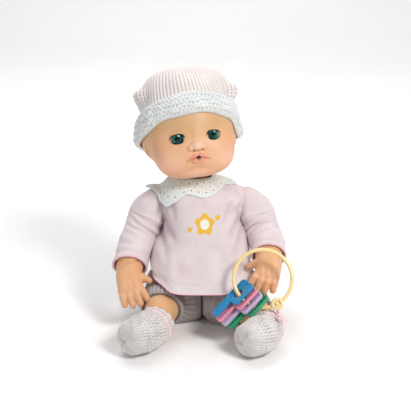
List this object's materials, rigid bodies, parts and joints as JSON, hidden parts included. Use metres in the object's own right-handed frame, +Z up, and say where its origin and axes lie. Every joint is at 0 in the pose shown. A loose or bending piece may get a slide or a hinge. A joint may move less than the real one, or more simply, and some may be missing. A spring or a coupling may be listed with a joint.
{
  "type": "interactive baby doll",
  "caption": "Seated baby doll with sleep eyes, jointed vinyl limbs, a sound module behind a tummy button, knitted clothes and a ring of toy keys.",
  "frame": {"origin": "on the seat face under the hips, on the plane the doll sits on", "axes": "+Z up; -Y the way the doll faces; +X towards the doll's left"},
  "size_m": [0.1992, 0.2358, 0.276],
  "materials": {
    "vinyl": "soft matte",
    "eye_white": "gloss",
    "eye_colour": "gloss",
    "velour": "soft velour",
    "cotton": "woven cotton with eyelets",
    "knit_cap": "rib knit",
    "knit_white": "chunky knit",
    "knit_grey": "fine knit",
    "ribbon": "satin",
    "frame_plastic": "moulded",
    "dark_plastic": "moulded",
    "button_plastic": "moulded",
    "steel": "bare",
    "cell": "printed sleeve, plain",
    "board": "solder resist",
    "ring_yellow": "moulded",
    "key_blue": "moulded",
    "key_pink": "moulded",
    "key_lilac": "moulded",
    "key_green": "moulded"
  },
  "bodies": {
    "torso": {"hip_frame": "frame_plastic", "torso_front": "vinyl", "torso_back": "vinyl", "module_screws": "steel", "neck_socket": "frame_plastic", "module_frame": "frame_plastic", "battery_box": "dark_plastic", "batteries": "cell", "battery_contacts": "steel", "battery_door": "frame_plastic", "door_screw": "steel", "circuit_board": "board", "speaker": "dark_plastic", "button_spring": "steel", "tunic_body": "velour", "collar": "cotton", "shorts_seat": "knit_grey", "shorts_waistband": "knit_grey"},
    "head": {"head_shell": "vinyl", "neck_plug": "vinyl", "mouth_tube": "frame_plastic", "eye_frame": "frame_plastic", "cap_crown": "knit_cap", "cap_cuff": "knit_white"},
    "eyes": {"eye_axle": "steel", "eyeball_left": "eye_white", "eyeball_right": "eye_white", "iris_left": "eye_colour", "iris_right": "eye_colour", "eyelid_left": "vinyl", "eyelid_right": "vinyl"},
    "arm_left": {"arm_left": "vinyl", "arm_pin_left": "frame_plastic", "sleeve_left": "velour"},
    "arm_right": {"arm_right": "vinyl", "arm_pin_right": "frame_plastic", "sleeve_right": "velour"},
    "leg_left": {"leg_left": "vinyl", "leg_pin_left": "frame_plastic", "shorts_leg_left": "knit_grey", "bootie_left": "knit_white", "ribbon_left": "ribbon"},
    "leg_right": {"leg_right": "vinyl", "leg_pin_right": "frame_plastic", "shorts_leg_right": "knit_grey", "bootie_right": "knit_white", "ribbon_right": "ribbon"},
    "key_ring": {"key_ring": "ring_yellow"},
    "key_blue": {"key_blue": "key_blue"},
    "key_pink": {"key_pink": "key_pink"},
    "key_lilac": {"key_lilac": "key_lilac"},
    "key_green": {"key_green": "key_green"},
    "tummy_button": {"tummy_button": "button_plastic"},
    "power_switch": {"power_switch": "dark_plastic"}
  },
  "joints": [
    {"name": "head_turn", "type": "hinge", "parent": "torso", "child": "head", "pos_m": [-0.01155, 0.01238, 0.15779], "axis": [-0.0901, 0.0535, 0.9945], "range_deg": [-40, 40]},
    {"name": "eyes_close", "type": "hinge", "parent": "head", "child": "eyes", "pos_m": [-0.00884, -0.02261, 0.20892], "axis": [0.9786, 0.1902, 0.0785], "range_deg": [0, 60]},
    {"name": "arm_left_raise", "type": "hinge", "parent": "torso", "child": "arm_left", "pos_m": [0.048, 0.01, 0.118], "axis": [-1, 0, 0], "range_deg": [0, 60]},
    {"name": "arm_right_raise", "type": "hinge", "parent": "torso", "child": "arm_right", "pos_m": [-0.048, 0.01, 0.118], "axis": [-1, 0, 0], "range_deg": [0, 70]},
    {"name": "leg_left_swing", "type": "hinge", "parent": "torso", "child": "leg_left", "pos_m": [0.017, -0.008, 0.027], "axis": [1, 0, 0], "range_deg": [0, 80]},
    {"name": "leg_right_swing", "type": "hinge", "parent": "torso", "child": "leg_right", "pos_m": [-0.017, -0.008, 0.027], "axis": [1, 0, 0], "range_deg": [0, 80]},
    {"name": "ring_turn", "type": "hinge", "parent": "arm_left", "child": "key_ring", "pos_m": [0.06582, -0.09463, 0.06976], "axis": [0, -0.848, 0.5299], "range_deg": [-10, 0]},
    {"name": "key_blue_swing", "type": "hinge", "parent": "key_ring", "child": "key_blue", "pos_m": [0.03913, -0.10349, 0.05557], "axis": [-0.5408, -0.2871, 0.7906], "range_deg": [-20, 30]},
    {"name": "key_pink_swing", "type": "hinge", "parent": "key_ring", "child": "key_pink", "pos_m": [0.04343, -0.10637, 0.05097], "axis": [-0.5408, -0.2871, 0.7906], "range_deg": [-20, 30]},
    {"name": "key_lilac_swing", "type": "hinge", "parent": "key_ring", "child": "key_lilac", "pos_m": [0.04881, -0.10867, 0.04728], "axis": [-0.5408, -0.2871, 0.7906], "range_deg": [-20, 24]},
    {"name": "key_green_swing", "type": "hinge", "parent": "key_ring", "child": "key_green", "pos_m": [0.05501, -0.11031, 0.04467], "axis": [-0.5408, -0.2871, 0.7906], "range_deg": [-20, 8]},
    {"name": "tummy_press", "type": "slide", "parent": "torso", "child": "tummy_button", "axis": [0, 1, 0], "range_m": [0, 0.0025], "stiffness_N_per_m": 400, "springref_m": -0.002, "deforming": ["button_spring"]},
    {"name": "switch_slide", "type": "slide", "parent": "torso", "child": "power_switch", "axis": [0, 0, 1], "range_m": [0, 0.004]}
  ]
}
